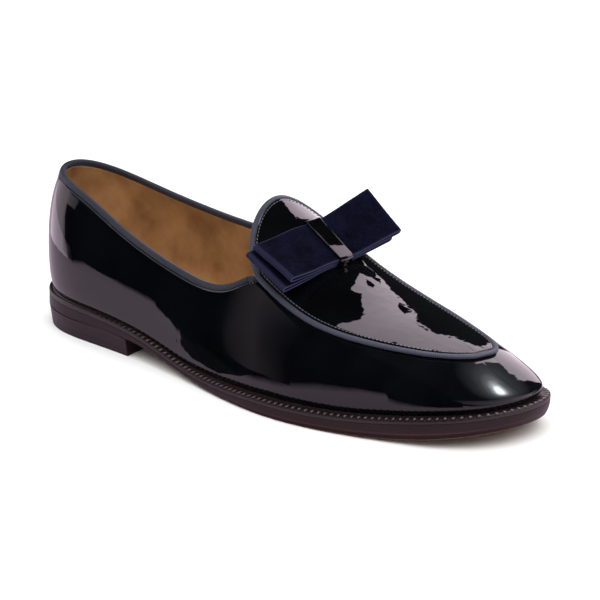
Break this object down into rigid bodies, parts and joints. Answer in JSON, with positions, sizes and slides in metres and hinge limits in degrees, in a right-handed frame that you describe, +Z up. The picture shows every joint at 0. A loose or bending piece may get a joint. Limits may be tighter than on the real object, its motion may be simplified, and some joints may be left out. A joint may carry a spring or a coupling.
{
  "type": "patent leather loafer",
  "caption": "Low slip-on dress shoe for the right foot: dark patent leather upper with bound apron and tongue, bound collar, flat velvet bow, welted leather sole and low block heel.",
  "frame": {"origin": "centre of the bounding box on the floor the shoe stands on", "axes": "+X from heel to toe, +Y to the medial (inner) side of the right foot, +Z up"},
  "size_m": [0.2932, 0.0996, 0.0863],
  "materials": {
    "sole_leather": "dyed and polished",
    "heel_block": "dyed and polished",
    "welt_leather": "dyed, wheeled",
    "insole_leather": "smooth",
    "patent_leather": "high gloss",
    "apron_patent": "high gloss",
    "apron_ribbon": "ribbed",
    "collar_ribbon": "ribbed",
    "velvet_lower": "napped",
    "velvet_upper": "napped",
    "band_patent": "high gloss"
  },
  "bodies": {
    "root": {"outsole": "sole_leather", "heel": "heel_block", "welt": "welt_leather", "insole": "insole_leather", "upper": "patent_leather", "apron_tongue": "apron_patent", "apron_binding": "apron_ribbon", "collar_binding": "collar_ribbon", "bow_lower": "velvet_lower", "bow_upper": "velvet_upper", "bow_band": "band_patent"}
  },
  "joints": []
}
